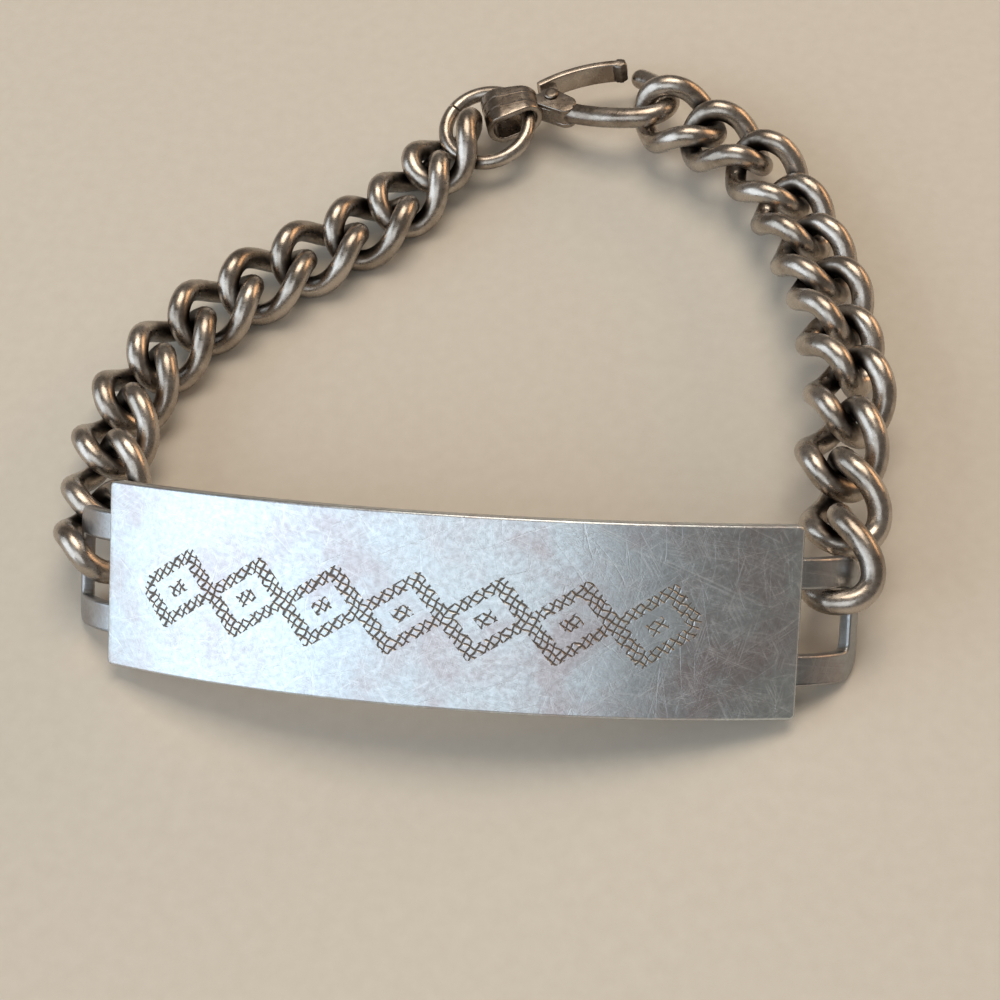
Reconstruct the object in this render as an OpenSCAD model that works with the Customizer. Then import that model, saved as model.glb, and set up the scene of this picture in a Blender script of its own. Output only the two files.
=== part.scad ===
// Identity bracelet: a curved name plate with a bent loop at each end, two runs of twisted curb
// links, a jump ring and a snap hook with a hinged tongue. It lies on its side on a flat surface,
// as it was put down: the chain flat, the plate leaning back. Millimetres, +Z up, +Y away from
// the side that the plate faces.

/* [Name plate] */
// Length of the plate along its curve, without the end loops
plate_len = 48.2; // [40:0.1:55]
// Width of the plate across the wrist
plate_w = 12.7; // [9:0.1:15]
// Thickness of the plate
plate_t = 1.2; // [0.8:0.05:1.6]
// Radius that the plate is curved to, on its middle surface
plate_r = 52; // [35:0.5:80]
// Radius of the four plate corners
plate_corner = 0.5; // [0.3:0.05:1]
// How far the plate leans back from upright while it lies, in degrees
plate_lean = 47; // [42:1:50]

/* [End loops] */
// Reach of each loop past the plate's end, along the bent sheet
loop_reach = 5.2; // [4.9:0.05:6]
// Width of each loop across the plate
loop_w = 8.4; // [8:0.1:9]
// Height of the slot in each loop
slot_h = 4.3; // [4:0.05:4.8]
// Width of the cross bar at the outer end of each loop
bar_w = 1.15; // [0.8:0.05:1.2]
// Thickness of the loops, thinner than the plate
loop_t = 0.9; // [0.6:0.05:1]
// Angle that each loop is bent back past the plate's own curve, in degrees
loop_bend = 42; // [35:1:50]
// Radius of the outer corners of each loop
loop_corner = 1.8; // [1:0.1:2.4]

/* [Curb chain] */
// Thickness of the link wire
wire_d = 1.66; // [1.5:0.01:1.7]
// Distance from one link to the next in the right run, which lies nearly pulled straight
pitch = 4.76; // [4.7:0.01:4.8]
// How much closer the links of the left run lie, being pushed together
left_slack = 0.11; // [0.07:0.01:0.14]
// Width of a link over its wire before it is twisted
link_w = 6.5; // [6.3:0.05:6.7]
// Twist of a link from one end to the other, in degrees
link_twist = 95; // [88:1:104]
// Squareness of a link's outline, where 2 is an ellipse
link_square = 2.3; // [2.1:0.05:2.6]
// Play between the wires of two links that pull on each other
link_play = 0.075; // [0.05:0.005:0.1]
// Number of links on the left of the plate
left_links = 11; // [10:1:11]
// Number of links on the right of the plate
right_links = 11; // [10:1:11]

/* [Jump ring] */
// Thickness of the jump ring's wire
ring_wire = 1.15; // [1:0.05:1.2]
// Outer diameter of the jump ring
ring_d = 7.85; // [7.8:0.05:7.9]
// Width of the cut where the ring was closed
ring_cut = 0.15; // [0.1:0.05:0.3]
// Tilt of the ring, raised at its far side, in degrees
ring_tilt = 10.5; // [9:0.5:12]

/* [Snap hook] */
// Width of the strap folded round the jump ring
strap_w = 3.4; // [3:0.1:3.6]
// Thickness of the strap
strap_t = 0.5; // [0.4:0.05:0.55]
// Length of the strap's eye over its fold
eye_len = 4.6; // [4.4:0.1:4.8]
// Height of the strap's eye
eye_h = 2.9; // [2.8:0.05:3]
// Thickness of the hook's round bar
hook_wire = 1.6; // [1.4:0.05:1.7]
// Thickness of the hinged tongue
tongue_t = 0.6; // [0.4:0.05:0.7]
// Height of the hinged tongue
tongue_h = 1.9; // [1.6:0.1:2.1]
// Height of the tongue's lug between the two cheeks of the hinge
lug_h = 0.9; // [0.8:0.05:1.1]
// Diameter of the hinge pin
pin_d = 0.6; // [0.5:0.05:0.7]
// Running clearance round the pin and beside the tongue's lug
hinge_gap = 0.06; // [0.04:0.01:0.08]

/* [Hidden] */
$fn = 96;

// Chosen points of each run of chain, from the clasp to the plate: where the middle of the chain
// passes, and how far it is rolled about its own line. Columns: x, y, z, roll in degrees. The
// plate's chord is the line y = 0.
left_route = [
    [-7.05, 45.25, 2.8, 36], [-10.7, 38.35, 2.15, 0], [-11.8, 36.5, 2.2, -4], [-18.1, 30.9, 2.3, -8],
    [-22.7, 26.5, 2.4, -7], [-25.7, 21.6, 2.5, -5], [-27.2, 16.2, 2.9, 5], [-26.9, 10.5, 3.4, 9],
    [-26, 5.3, 3.6, -1], [-25.4, 1.2, 4, -28], [-25.1, -2.3, 4.8, -59]];
right_route = [
    [6.4, 49.15, 3.65, 31], [14.9, 44, 3.45, -7], [18.4, 40.6, 3.05, 0], [18.95, 39.7, 2.75, -10],
    [21.7, 33.3, 3.2, -6], [23.4, 28.6, 3.7, -20], [24.2, 24.8, 3.8, -27], [25.2, 21.2, 4.4, -8],
    [25.2, 15.7, 4.6, 8], [24.9, 12, 4.6, 21], [25.6, 9.6, 4.5, 38], [25.8, 5.2, 4.6, 57],
    [26.1, -1, 4.8, 99]];
// Distance along each route at which the middle of the first link lies
left_start = 1.88;
right_start = 4.3;
// Origin of the clasp's own frame, and how the clasp is turned and tilted on the surface
clasp_at = [-2.46, 47.65, 3.1];
clasp_yaw = 20;
clasp_tilt = 0;
clasp_roll = 0;
// In the clasp's frame: middle of its eye, hinge pin, and start and heading of the bar and tongue
eye_at = [-0.8, 0.3, 0];
pin_at = [2.5, 0.4];
bar_start = [3.35, -0.9];
bar_heading = -47.2;
bar_roll = -16.9;
bar_tilt = 1.7;
// Shares of the strap's half width that are left at the hinge, on its near and its far side
strap_near = 0.55;
strap_far = 0.75;
// Places of the two grooves across the strap, as shares of its width, and their width and depth
grooves_at = [-0.12, 0.21];
groove = 0.12;
// Corner of the cheeks beside the bar, measured from the bar's start
cheek_corner = [0.4, 0.6];
// Height of the cheeks' two corners at the eye, as shares of the lug's radius
cheek_low = -0.5;
cheek_high = 0.7;
// How far the rivet stands proud of the cheeks, and the thickness of its heads
rivet_proud = 0.15;
head_t = 0.2;
// Room between the lug and the far wall of its slot
slot_room = 0.6;
// Radius of the rough nub at the tongue's free end
nub_r = 0.55;
tongue_start = [1.75, 1.92];
tongue_heading = 22;
// Radius and turn of each arc of the bar, from the hinge to the hook's end
bar_bends = [[12.5, 28.3], [2.3, 108], [7.3, 36.4]];
// Radius and turn of the tongue's arch
tongue_r = 11;
tongue_sweep = 36;
// Middle of the jump ring, how far it is raised at its left side and where its cut is, in degrees
ring_at = [-5.18, 46.25, 2.76];
ring_lean = -2;
ring_cut_at = 150;
// Middle of the lying bracelet seen from above, which the origin is put under
middle = [-0.81, 22.55];

silver = [0.78, 0.78, 0.8];
steel = [0.62, 0.58, 0.55];

// Number of cross sections round a link, sides of its wire, steps in each span of a route, and sides
// of the hook's bar and steps in each of its arcs
link_rings = 20;
link_sides = 6;
route_steps = 10;
bar_sides = 16;
bar_steps = 7;
// Radius of the lug and cheeks round the hinge pin, room round the lug, how far a loop runs into the
// plate's end, and where the eye ends
lug_r = 0.7;
lug_room = 0.1;
// Radius of the rivet's heads
head_r = 0.8 * lug_r;
loop_root = 0.6;
eye_end = eye_at[0] + eye_len / 2;

function unit(v) = v / norm(v);

// A smooth curve through the points of a route
function spline_at(a, b, c, d, t) =
    (2 * b + (c - a) * t + (2 * a - 5 * b + 4 * c - d) * t * t + (3 * b - a - 3 * c + d) * t * t * t) / 2;
function smooth(route) = let (
    n = len(route),
    ends = concat([2 * route[0] - route[1]], route, [2 * route[n - 1] - route[n - 2]]))
    concat(
        [for (i = [0 : n - 2], k = [0 : route_steps - 1])
            spline_at(ends[i], ends[i + 1], ends[i + 2], ends[i + 3], k / route_steps)],
        [route[n - 1]]);
function place_of(p) = [p[0], p[1], p[2]];
function run_of(line) = [for (i = 0, s = 0; i < len(line);
    s = s + (i + 1 < len(line) ? norm(place_of(line[i + 1]) - place_of(line[i])) : 0), i = i + 1) s];
function column(line, run, k) = [for (i = [0 : len(line) - 1]) [run[i], line[i][k]]];

// A route as four tables against the distance along it: x, y, z and roll
function tables(route) = let (line = smooth(route), run = run_of(line))
    [for (k = [0 : 3]) column(line, run, k)];
function at(tables, u) = [lookup(u, tables[0]), lookup(u, tables[1]), lookup(u, tables[2])];
function roll_at(tables, u) = lookup(u, tables[3]);

// Outline of one link in its own frame, twisted about its long axis
link_a = (pitch + wire_d) / 2 + link_play;
link_b = (link_w - wire_d) / 2;
function signed_power(v, e) = sign(v) * pow(abs(v), e);
function link_twist_at(x) = -link_twist / 2 * sin(90 * x / link_a);
function link_point(t) = let (
    x = link_a * signed_power(cos(t), 2 / link_square),
    y = link_b * signed_power(sin(t), 2 / link_square),
    turn = link_twist_at(x))
    [x, y * cos(turn), y * sin(turn)];

// One link as a closed sweep: rings of points round its wire, given the link's axes and middle
module link(centre, along, roll) {
    across0 = unit(cross([0, 0, 1], along));
    up0 = cross(along, across0);
    across = across0 * cos(roll) + up0 * sin(roll);
    up = up0 * cos(roll) - across0 * sin(roll);
    step = 360 / link_rings;
    points = [for (i = [0 : link_rings - 1]) let (
        t = i * step,
        p = link_point(t),
        tangent = unit(link_point(t + step / 2) - link_point(t - step / 2)),
        turn = link_twist_at(p[0]),
        side = unit(cross(tangent, [0, -sin(turn), cos(turn)])),
        top = cross(side, tangent))
        for (j = [0 : link_sides - 1]) let (
            a = 360 * j / link_sides,
            q = p + wire_d / 2 * (cos(a) * side + sin(a) * top))
            centre + q[0] * along + q[1] * across + q[2] * up];
    faces = [for (i = [0 : link_rings - 1], j = [0 : link_sides - 1]) let (
        i2 = (i + 1) % link_rings,
        j2 = (j + 1) % link_sides,
        a = i * link_sides + j,
        b = i * link_sides + j2,
        c = i2 * link_sides + j2,
        d = i2 * link_sides + j)
        each [[a, b, c], [a, c, d]]];
    polyhedron(points, faces);
}

// One link of a run, counted from the clasp
module run_link(tables, start, spacing, index) {
    u = start + index * spacing;
    link(at(tables, u), unit(at(tables, u + spacing / 2) - at(tables, u - spacing / 2)), roll_at(tables, u));
}

left_tables = tables(left_route);
right_tables = tables(right_route);

// The plate's own frame: x along its chord, y out of its face, z down its width
half_sweep = plate_len / 2 / plate_r * 180 / PI;
half_chord = plate_r * sin(half_sweep);
bend_r = loop_reach / (loop_bend * PI / 180);

// Lowest point of the loops' rounded corners and of the plate's corners, below the plate's chord
function loop_point(s, v) = let (a = half_sweep + loop_bend * s / loop_reach)
    -sin(plate_lean) * (bend_r * (cos(half_sweep) - cos(a)) + loop_t / 2 * cos(a)) - cos(plate_lean) * v;
loop_low = min([for (a = [0 : 10 : 90])
    loop_point(loop_reach - loop_corner * (1 - cos(a)), loop_w / 2 - loop_corner * (1 - sin(a)))]);
plate_low = -cos(plate_lean) * plate_w / 2 - sin(plate_lean) * plate_t / 2;
chord_height = -min(loop_low, plate_low);

// Sector of a flat ring of middle radius r, between two angles measured from +Y towards +X
module band(r, thickness, from, to) {
    far = 2 * (r + thickness);
    intersection() {
        difference() {
            circle(r + thickness / 2);
            circle(r - thickness / 2);
        }
        polygon([[0, 0], far * [sin(from), cos(from)], far * [sin((from + to) / 2), cos((from + to) / 2)],
            far * [sin(to), cos(to)]]);
    }
}

// Square with round corners, for outlines cut through the sheet
module round_square(size, r) {
    square([size[0] - 2 * r, size[1]], center = true);
    square([size[0], size[1] - 2 * r], center = true);
    for (x = [-1, 1], y = [-1, 1])
        translate([x * (size[0] / 2 - r), y * (size[1] / 2 - r)]) circle(r);
}

module plate_sheet() {
    intersection() {
        translate([0, -plate_r * cos(half_sweep)])
            linear_extrude(plate_w, center = true) band(plate_r, plate_t, -half_sweep, half_sweep);
        rotate([90, 0, 0])
            linear_extrude(plate_r, center = true)
            round_square([2 * half_chord + plate_t * sin(half_sweep), plate_w], plate_corner);
    }
}

// Loop at the +X end: the bent sheet, its slot cut out and its outer corners rounded
module end_loop() {
    end_sweep = half_sweep + loop_bend;
    slot_sweep = half_sweep + loop_bend * (loop_reach - bar_w) / loop_reach;
    bend_at = [half_chord - bend_r * sin(half_sweep), -bend_r * cos(half_sweep)];
    tip = bend_at + bend_r * [sin(end_sweep), cos(end_sweep)];
    intersection() {
        difference() {
            translate(bend_at) linear_extrude(loop_w, center = true)
                band(bend_r, loop_t, half_sweep - loop_root / bend_r * 180 / PI, end_sweep);
            translate(bend_at) linear_extrude(slot_h, center = true)
                band(bend_r, 3 * loop_t, half_sweep, slot_sweep);
        }
        translate(tip) rotate(-end_sweep) rotate([90, 0, 0])
            linear_extrude(3 * loop_reach, center = true)
            translate([-loop_reach, 0]) round_square([2 * loop_reach, loop_w], loop_corner);
    }
}

module plate() {
    color(silver)
    translate([0, 0, chord_height]) rotate([180 - plate_lean, 0, 0]) {
        plate_sheet();
        end_loop();
        mirror([1, 0, 0]) end_loop();
    }
}

module jump_ring() {
    color(steel)
    translate(ring_at) rotate([ring_tilt, ring_lean, 0])
    rotate(ring_cut_at + ring_cut * 180 / PI / ring_d)
    rotate_extrude(angle = 360 - 2 * ring_cut * 180 / PI / ring_d)
    translate([(ring_d - ring_wire) / 2, 0]) circle(ring_wire / 2);
}

// The clasp's own frame: x along its eye towards the hook's end, z up
module clasp_place() {
    translate(clasp_at) rotate(clasp_yaw) rotate([0, clasp_tilt, 0]) rotate([clasp_roll, 0, 0]) children();
}

module eye_outline(inset) {
    round_square([eye_len - 2 * inset, eye_h - 2 * inset], eye_h / 2 - inset - 0.01);
}

// The strap folded into an eye, narrower towards the hinge, with two fine grooves round its fold
module eye_strap() {
    translate(eye_at)
    difference() {
        intersection() {
            rotate([90, 0, 0]) linear_extrude(strap_w, center = true)
                difference() {
                    eye_outline(0);
                    eye_outline(strap_t);
                }
            linear_extrude(eye_h, center = true)
                polygon([[-eye_len, -strap_w / 2], [-eye_len / 6, -strap_w / 2],
                    [eye_len / 2, -strap_near * strap_w / 2], [eye_len / 2, strap_far * strap_w / 2],
                    [-eye_len / 6, strap_w / 2], [-eye_len, strap_w / 2]]);
        }
        for (y = grooves_at)
            translate([0, y * strap_w])
            rotate([90, 0, 0]) linear_extrude(groove, center = true)
                difference() {
                    eye_outline(-1);
                    eye_outline(groove);
                }
    }
}

// Cheeks of the hinge, between the eye and the hook's bar, with a slot for the tongue's lug
module hinge_cheeks() {
    difference() {
        linear_extrude(tongue_h, center = true) {
            translate(pin_at) circle(lug_r);
            translate(bar_start) circle(hook_wire / 2 + lug_room);
            polygon([[eye_end - strap_t / 2, cheek_low * lug_r],
                [eye_end - strap_t / 2, pin_at[1] + cheek_high * lug_r],
                pin_at + [0, lug_r], pin_at + [lug_r, 0], bar_start + cheek_corner, bar_start]);
        }
        linear_extrude(lug_h + 2 * hinge_gap, center = true) {
            translate(pin_at) circle(lug_r + lug_room);
            translate(pin_at - [lug_r + lug_room, 0]) square([2 * lug_r + slot_room, tongue_r]);
        }
        translate(pin_at) cylinder(h = 2 * eye_h, d = pin_d + 2 * hinge_gap, center = true);
    }
}

// The hook's round bar as rows of x, y, heading and radius: arcs end to end, then a round end
function bar_arcs(bends, i = 0, p = [0, 0], heading = 0) = i == len(bends) ? [[p[0], p[1], heading]] : let (
    r = bends[i][0],
    turn = bends[i][1],
    centre = p + r * [-sin(heading), cos(heading)],
    rows = [for (k = [0 : bar_steps - 1]) let (h = heading + turn * k / bar_steps)
        [centre[0] + r * sin(h), centre[1] - r * cos(h), h]],
    last = heading + turn)
    concat(rows, bar_arcs(bends, i + 1, centre + r * [sin(last), -cos(last)], last));
module bent_bar(bends) {
    line = bar_arcs(bends);
    end = line[len(line) - 1];
    r = hook_wire / 2;
    rows = concat(
        [for (q = line) [q[0], q[1], q[2], r]],
        [for (a = [25 : 20 : 85]) [end[0] + r * sin(a) * cos(end[2]), end[1] + r * sin(a) * sin(end[2]),
            end[2], r * cos(a)]]);
    points = [for (q = rows, j = [0 : bar_sides - 1]) let (a = 360 * j / bar_sides)
        [q[0] - q[3] * cos(a) * sin(q[2]), q[1] + q[3] * cos(a) * cos(q[2]), -q[3] * sin(a)]];
    sides = [for (i = [0 : len(rows) - 2], j = [0 : bar_sides - 1]) let (
        j2 = (j + 1) % bar_sides,
        a = i * bar_sides + j,
        b = i * bar_sides + j2,
        c = b + bar_sides,
        d = a + bar_sides)
        each [[a, b, c], [a, c, d]]];
    first = [for (j = [bar_sides - 1 : -1 : 0]) j];
    last = [for (j = [0 : bar_sides - 1]) (len(rows) - 1) * bar_sides + j];
    polyhedron(points, concat(sides, [first, last]));
}

module clasp_hook() {
    color(steel)
    clasp_place() {
        eye_strap();
        hinge_cheeks();
        translate(bar_start) rotate([bar_roll, bar_tilt, 0]) rotate(bar_heading) bent_bar(bar_bends);
    }
}

// Arched strip standing on edge, with a lug on the hinge pin and a rough nub at its free end
module clasp_tongue() {
    color(steel)
    clasp_place() {
        linear_extrude(tongue_h, center = true)
            translate(tongue_start) rotate(tongue_heading) translate([0, -tongue_r])
            band(tongue_r, tongue_t, 0, tongue_sweep);
        difference() {
            linear_extrude(lug_h, center = true) {
                translate(pin_at) circle(lug_r);
                translate(pin_at - [lug_r, 0]) square([2 * lug_r, tongue_start[1] - pin_at[1] + tongue_t]);
            }
            translate(pin_at) cylinder(h = 2 * eye_h, d = pin_d + 2 * hinge_gap, center = true);
        }
        translate(tongue_start) rotate(tongue_heading) translate([0, -tongue_r]) rotate(-tongue_sweep)
            translate([0, tongue_r]) cylinder(h = tongue_h, r = nub_r, center = true);
    }
}

module clasp_pin() {
    color(steel)
    clasp_place()
        translate(pin_at) {
            cylinder(h = tongue_h + 2 * rivet_proud, d = pin_d, center = true);
            for (z = [-1, 1])
                translate([0, 0, z * (tongue_h / 2 + rivet_proud)]) cylinder(h = head_t, r = head_r, center = true);
        }
}

function numbered(name, count) = [for (i = [1 : count]) str(name, i < 10 ? "0" : "", i)];
left_names = numbered("left_link_", left_links);
right_names = numbered("right_link_", right_links);

module put() {
    translate([-middle[0], -middle[1], 0]) children();
}

put() plate();
put() jump_ring();
put() clasp_hook();
put() clasp_tongue();
put() clasp_pin();
for (i = [0 : left_links - 1])
    put() color(steel) run_link(left_tables, left_start, pitch - left_slack, i);
for (i = [0 : right_links - 1])
    put() color(steel) run_link(right_tables, right_start, pitch, i);
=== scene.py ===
# %% [markdown]
# # An identity bracelet, lying as it was put down
# The real object is a curved silver name plate with a bent loop at each end, two runs of twisted
# curb links, a jump ring and a snap hook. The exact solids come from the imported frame. This lesson
# gives each of them a finished mesh in the same place, and a metal that shows its years of wear.

# %% The frame
import math

import bmesh
import bpy
import numpy as np
from mathutils import Matrix, Vector


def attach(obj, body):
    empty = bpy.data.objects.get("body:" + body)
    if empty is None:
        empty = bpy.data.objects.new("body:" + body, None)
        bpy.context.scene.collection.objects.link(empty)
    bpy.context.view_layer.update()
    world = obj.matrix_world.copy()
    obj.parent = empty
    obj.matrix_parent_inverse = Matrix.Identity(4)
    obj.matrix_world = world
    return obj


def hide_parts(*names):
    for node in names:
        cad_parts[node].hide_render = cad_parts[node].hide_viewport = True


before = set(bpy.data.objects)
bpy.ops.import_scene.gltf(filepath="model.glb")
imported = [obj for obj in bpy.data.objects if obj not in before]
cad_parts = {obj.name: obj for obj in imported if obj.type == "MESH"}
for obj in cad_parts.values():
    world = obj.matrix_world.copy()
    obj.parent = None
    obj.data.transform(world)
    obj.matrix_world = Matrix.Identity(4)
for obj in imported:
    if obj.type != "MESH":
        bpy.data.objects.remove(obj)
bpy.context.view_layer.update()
names = sorted(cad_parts)

# %% [markdown]
# ## Measures and small helpers
# Jewellers work in millimetres and Blender in metres, so every size below is in millimetres and one
# factor turns it to metres at the last moment. Colours are picked as sRGB hex values from swatches,
# but shaders count in linear light, so one function does the conversion for all of them.

# %% Helpers
MM = 0.001
# the middle of the bracelet as it is laid out; the frame has its origin there
MIDDLE = Vector((-0.81, 22.55, 0))


def linear(hex_colour):
    """sRGB hex, as a swatch is written, to the linear colour that a shader takes."""
    parts = [int(hex_colour[i:i + 2], 16) / 255 for i in (1, 3, 5)]
    return [c / 12.92 if c <= 0.04045 else ((c + 0.055) / 1.055) ** 2.4 for c in parts] + [1]


def node(tree, kind, links=None, out=0, **settings):
    """Adds a node, sets it up, feeds its inputs with sockets or values, and returns one output."""
    new = tree.nodes.new("ShaderNode" + kind)
    for key, value in settings.items():
        setattr(new, key, value)
    for key, value in (links or {}).items():
        if isinstance(value, bpy.types.NodeSocket):
            tree.links.new(value, new.inputs[key])
        else:
            new.inputs[key].default_value = value
    return new.outputs[out]


def maths(tree, operation, *values):
    """A node that does one operation on sockets or numbers."""
    return node(tree, "Math", dict(enumerate(values)), operation=operation)


def blend(tree, share, first, second):
    """A share of the way from one colour to another, each a socket or a hex colour."""
    first, second = (linear(c) if isinstance(c, str) else c for c in (first, second))
    return node(tree, "Mix", {0: share, 6: first, 7: second}, out=2, data_type="RGBA")


def metal(name, hex_colour, roughness):
    """A bare metal with a principled shader, and its tree and shader to build on."""
    material = bpy.data.materials.new(name)
    material.use_nodes = True
    tree = material.node_tree
    shader = tree.nodes["Principled BSDF"]
    shader.inputs["Base Color"].default_value = linear(hex_colour)
    shader.inputs["Metallic"].default_value = 1
    shader.inputs["Roughness"].default_value = roughness
    return material, tree, shader


def finished(name, points, faces, material, solids, body="bracelet", sharp=40):
    """One visible piece from points in millimetres, riding on its body in place of its solids."""
    mesh = bpy.data.meshes.new(name)
    mesh.from_pydata([tuple(MM * c for c in p) for p in points], [], faces)
    mesh.validate()
    mesh.materials.append(material)
    mesh.shade_smooth()
    mesh.set_sharp_from_angle(angle=math.radians(sharp))
    piece = bpy.data.objects.new(name, mesh)
    bpy.context.scene.collection.objects.link(piece)
    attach(piece, body)
    if solids:
        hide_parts(*solids)
    return piece


def tube_faces(rings, sides, closed):
    """Quads between rings of points, and two end caps where the tube isn't a loop."""
    faces = [(i * sides + j, i * sides + (j + 1) % sides,
              (i + 1) % rings * sides + (j + 1) % sides, (i + 1) % rings * sides + j)
             for i in range(rings if closed else rings - 1) for j in range(sides)]
    if not closed:
        faces.append(tuple(reversed(range(sides))))
        faces.append(tuple((rings - 1) * sides + j for j in range(sides)))
    return faces


print("helpers ready, 1 mm =", MM, "m")

# %% [markdown]
# ## The view
# The photograph looks down on the bracelet at 53 degrees with the camera rolled a little, from
# about 16 cm away. The camera comes first, so that every later step can be judged from it.

# %% Camera
CAMERA_PLACE = Vector((30.11, -78.19, 125.41)) - MIDDLE
CAMERA_TURN, CAMERA_DOWN, CAMERA_ROLL = 17.83, 53.0, -10.7
FOCAL = 79.2                            # millimetres, on a sensor 36 mm wide

camera = bpy.data.objects.new("camera", bpy.data.cameras.new("camera"))
bpy.context.scene.collection.objects.link(camera)
camera.data.lens = FOCAL
camera.data.sensor_width = 36
camera.data.clip_start = 0.005
camera.matrix_world = (
    Matrix.Translation(CAMERA_PLACE * MM)
    @ Matrix.Rotation(math.radians(CAMERA_TURN), 4, "Z")
    @ Matrix.Rotation(math.radians(90 - CAMERA_DOWN), 4, "X")
    @ Matrix.Rotation(math.radians(CAMERA_ROLL), 4, "Z"))
bpy.context.scene.camera = camera
print("camera at", [round(c, 1) for c in CAMERA_PLACE], "mm, looking", CAMERA_DOWN, "degrees down")

# %% [markdown]
# ## Worn silver for the chain and clasp
# The wire is sterling silver, drawn, bent and polished, then worn for years. Hands polish what they
# touch, while sulphur darkens what they miss, so the crevices where links meet are tarnished. The
# brown-black mixed in there is partly that tarnish and partly painted shade. The wire is therefore a
# bright warm metal, and a vertex attribute, measured later from the distance to the neighbouring
# links, mixes in the dark.

# %% Chain metal
PATCHES, HAZE = 0.35, 2.6               # how often dull patches and haze change, per mm
SCRATCHES, SCRATCH_DEEP = 1.6, 0.02     # per mm along them, and how deep they are cut, mm
DENTS, DENT_DEEP = 0.6, 0.12            # per mm, and mm
# the crevices' dark, partly tarnish and partly painted shade, also adds roughness
DARK_ROUGHER = 0.22                     # what tarnish adds to the roughness


def worn_wire(name, bright, dull, dark, roughness):
    """Polished silver with hazy patches, fine handling scratches, and tarnish with painted shade in its
    crevices.
    """
    material, tree, shader = metal(name, bright, roughness)
    place = node(tree, "TexCoord", out=3)
    patches = node(tree, "TexNoise", {"Vector": place, "Scale": PATCHES / MM, "Detail": 5, "Roughness": 0.6})
    haze = node(tree, "TexNoise", {"Vector": place, "Scale": HAZE / MM, "Detail": 4, "Roughness": 0.7})
    # the stored share darkens the crevices: partly tarnish, partly painted shade
    crevice = node(tree, "Attribute", out=2, attribute_name="tarnish_and_shade")
    # the patches break up the dark, so that it doesn't end in a clean line
    broken = maths(tree, "SUBTRACT", patches, 0.5)
    broken = maths(tree, "MULTIPLY_ADD", broken, 0.9, crevice)
    tarnish_and_shade_share = node(tree, "MapRange", {"Value": broken, "From Min": 0.25, "From Max": 0.85},
                     interpolation_type="SMOOTHSTEP")
    dulled = node(tree, "MapRange", {"Value": patches, "From Min": 0.42, "From Max": 0.66})
    colour = blend(tree, tarnish_and_shade_share, blend(tree, dulled, bright, dull), dark)
    tree.links.new(colour, shader.inputs["Base Color"])
    rough = node(tree, "MapRange", {"Value": haze, "From Min": 0.3, "From Max": 0.7,
                                    "To Min": roughness - 0.07, "To Max": roughness + 0.1})
    rough = maths(tree, "MULTIPLY_ADD", tarnish_and_shade_share, DARK_ROUGHER, rough)
    tree.links.new(rough, shader.inputs["Roughness"])
    # handling scratches, about 0.05 mm apart on the real wire, drawn at 0.12 mm so that they show
    stretched = node(tree, "Mapping", {"Vector": place, "Rotation": (0.5, 0.3, 0.6), "Scale": (1, 5, 5)})
    scratches = node(tree, "TexNoise", {"Vector": stretched, "Scale": SCRATCHES / MM, "Detail": 3})
    dents = node(tree, "TexNoise", {"Vector": place, "Scale": DENTS / MM, "Detail": 2})
    bump = node(tree, "Bump", {"Height": scratches, "Strength": 0.25, "Distance": SCRATCH_DEEP * MM})
    bump = node(tree, "Bump", {"Height": dents, "Strength": 0.5, "Distance": DENT_DEEP * MM, "Normal": bump})
    tree.links.new(bump, shader.inputs["Normal"])
    return material


chain_silver = worn_wire("worn_sterling_wire", "#BDB4AB", "#8F8479", "#261C16", 0.28)
clasp_silver = worn_wire("worn_sterling_clasp", "#B9AFA5", "#8A7E73", "#261C16", 0.28)
print("made", chain_silver.name, "and", clasp_silver.name)

# %% [markdown]
# ## The curb links
# A curb link is an oval of round wire, twisted a quarter turn about its long axis so that the chain
# lies flat. Bending a Blender curve would work for one link, but each of the 22 has to hold exactly
# the place of its solid. So one link is swept in its own frame, and each solid's balance axes,
# which its mass distribution gives, say how to lay that link down.

# %% One twisted link
WIRE, PITCH, LINK_WIDTH = 1.66, 4.76, 6.5
TWIST, SQUARENESS, PLAY = 95, 2.3, 0.075
LINK_RINGS, LINK_SIDES = 88, 18
LINK_A = (PITCH + WIRE) / 2 + PLAY
LINK_B = (LINK_WIDTH - WIRE) / 2


def link_line(t):
    """Points on the wire's middle line, for angles t in radians, and the twist there."""
    c, s = np.cos(t), np.sin(t)
    x = LINK_A * np.sign(c) * np.abs(c) ** (2 / SQUARENESS)
    y = LINK_B * np.sign(s) * np.abs(s) ** (2 / SQUARENESS)
    turn = -np.radians(TWIST / 2) * np.sin(np.pi / 2 * x / LINK_A)
    return np.stack([x, y * np.cos(turn), y * np.sin(turn)], -1), turn


def units(v):
    """Vectors at length 1."""
    return v / np.linalg.norm(v, axis=-1, keepdims=True)


def link_rings():
    """Points of the rings round the wire, one ring after another, and the wire's middle line."""
    t = np.arange(LINK_RINGS) * 2 * np.pi / LINK_RINGS
    step = np.pi / 40
    line, turn = link_line(t)
    tangent = units(link_line(t + step)[0] - link_line(t - step)[0])
    side = units(np.cross(tangent, np.stack([0 * turn, -np.sin(turn), np.cos(turn)], -1)))
    top = np.cross(side, tangent)
    a = np.arange(LINK_SIDES) * 2 * np.pi / LINK_SIDES
    ring = WIRE / 2 * (np.cos(a)[None, :, None] * side[:, None] + np.sin(a)[None, :, None] * top[:, None])
    return (line[:, None] + ring).reshape(-1, 3), line


link_points, link_middle = link_rings()
print("one link:", len(link_points), "points,", round(2 * LINK_A + WIRE, 2), "mm long")


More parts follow.
